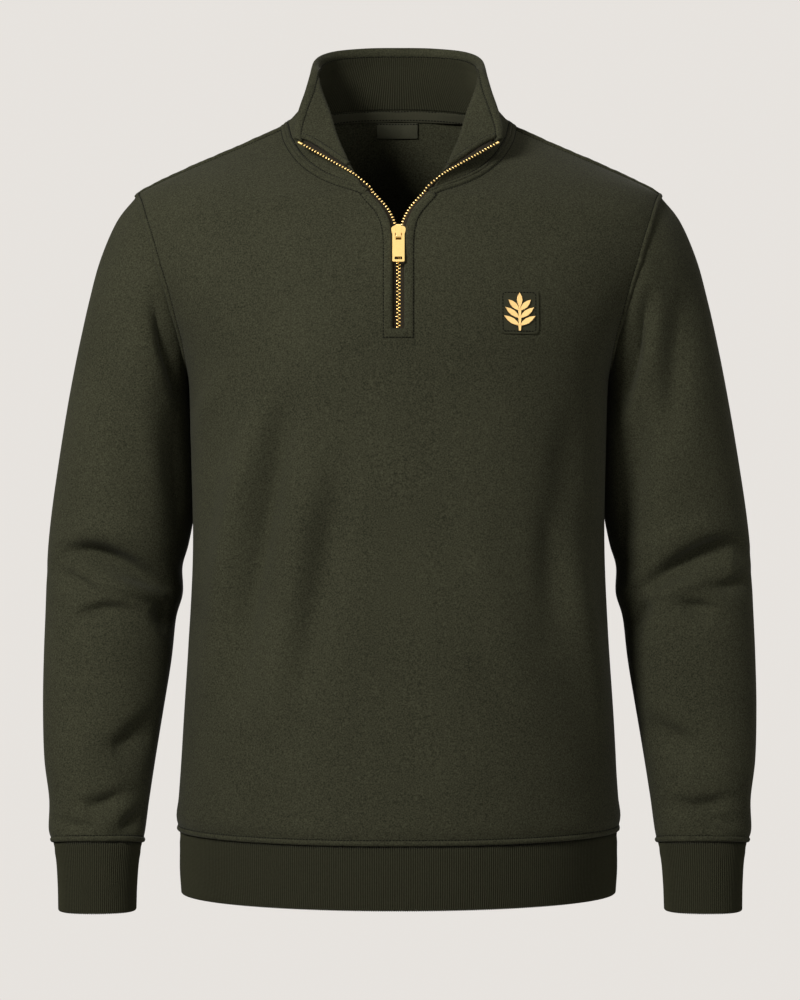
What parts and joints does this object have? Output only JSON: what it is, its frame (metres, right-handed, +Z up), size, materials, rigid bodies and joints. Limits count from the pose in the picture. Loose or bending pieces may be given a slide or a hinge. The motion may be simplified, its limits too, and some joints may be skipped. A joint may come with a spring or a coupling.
{
  "type": "quarter zip sweater",
  "caption": "Quarter zip sweatshirt with a fold-open collar, set-in sleeves, rib cuffs and hem, and a small chest patch; hollow and filled out as if worn.",
  "frame": {"origin": "middle of the neck opening, level with the high points of the shoulders, where a wearer's neck holds it", "axes": "+Z up, the front faces -Y, +X is the wearer's left"},
  "size_m": [0.639, 0.27, 0.7791],
  "materials": {
    "fleece": "soft brushed knit, dark olive",
    "rib_knit": "fine rib knit, dark olive",
    "tape": "fine twill, dark olive",
    "label": "smooth woven, dark olive, blank",
    "zip_tape": "tight woven, dark olive",
    "patch": "flat twill, dark olive",
    "gold": "polished pale gold"
  },
  "bodies": {
    "garment": {"front_panel": "fleece", "back_panel": "fleece", "sleeve_right": "fleece", "sleeve_left": "fleece", "cuff_right": "rib_knit", "cuff_left": "rib_knit", "hem_band": "rib_knit", "collar_outer": "fleece", "collar_lining": "rib_knit", "collar_facing_right": "fleece", "collar_facing_left": "fleece", "neck_tape": "tape", "neck_label": "label", "zip_tape_right": "zip_tape", "zip_tape_left": "zip_tape", "zip_slider": "gold", "chest_patch": "patch", "patch_emblem": "gold"},
    "pull_tab": {"zip_pull": "gold"}
  },
  "joints": [
    {"name": "pull_swing", "type": "hinge", "parent": "garment", "child": "pull_tab", "pos_m": [0, -0.12057, -0.10502], "axis": [-1, 0, 0], "range_deg": [0, 140]}
  ]
}
